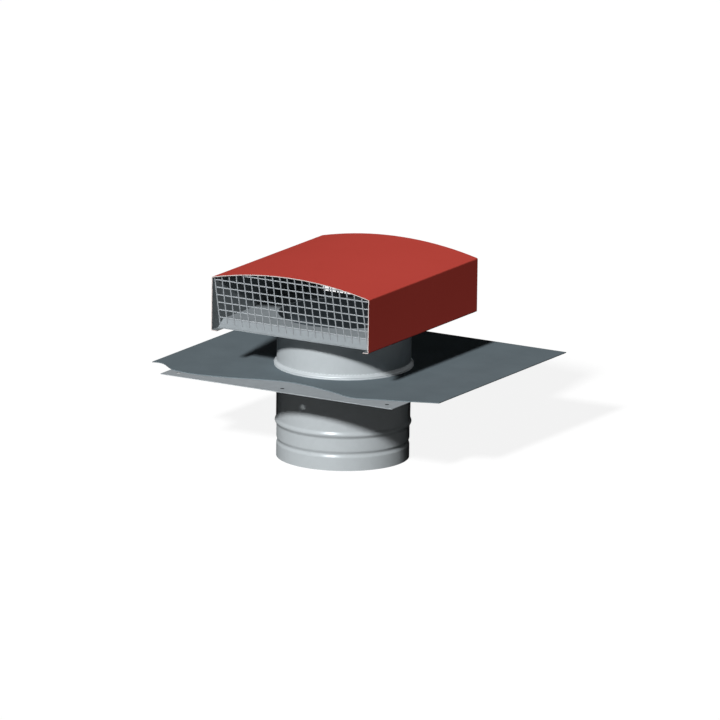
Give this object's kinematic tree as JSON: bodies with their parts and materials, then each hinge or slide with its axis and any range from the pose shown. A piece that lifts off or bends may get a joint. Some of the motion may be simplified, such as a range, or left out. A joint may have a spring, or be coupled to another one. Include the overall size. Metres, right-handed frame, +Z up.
{
  "type": "roof tile vent",
  "caption": "Roof ventilation terminal: vaulted sheet metal hood with meshed ends on a round duct spigot, with a square base plate and a flashing sheet.",
  "frame": {"origin": "centre of the round duct at the spigot's bottom rim", "axes": "+Z up along the duct's axis, X across the open front of the hood, +Y from the front of the hood to its back, which is up the roof"},
  "size_m": [0.39, 0.358, 0.2433],
  "materials": {
    "galvanised_duct": "galvanised, satin",
    "galvanised_plate": "galvanised, satin",
    "grey_flashing": "dark grey, matt",
    "red_hood": "tile red paint outside, bare galvanised inside",
    "galvanised_tray": "galvanised, satin",
    "mesh_wire": "galvanised wire"
  },
  "bodies": {
    "root": {"duct": "galvanised_duct", "base_plate": "galvanised_plate", "flashing_sheet": "grey_flashing", "hood_shell": "red_hood", "duct_tray": "galvanised_tray", "front_mesh": "mesh_wire", "rear_mesh": "mesh_wire"}
  },
  "joints": []
}
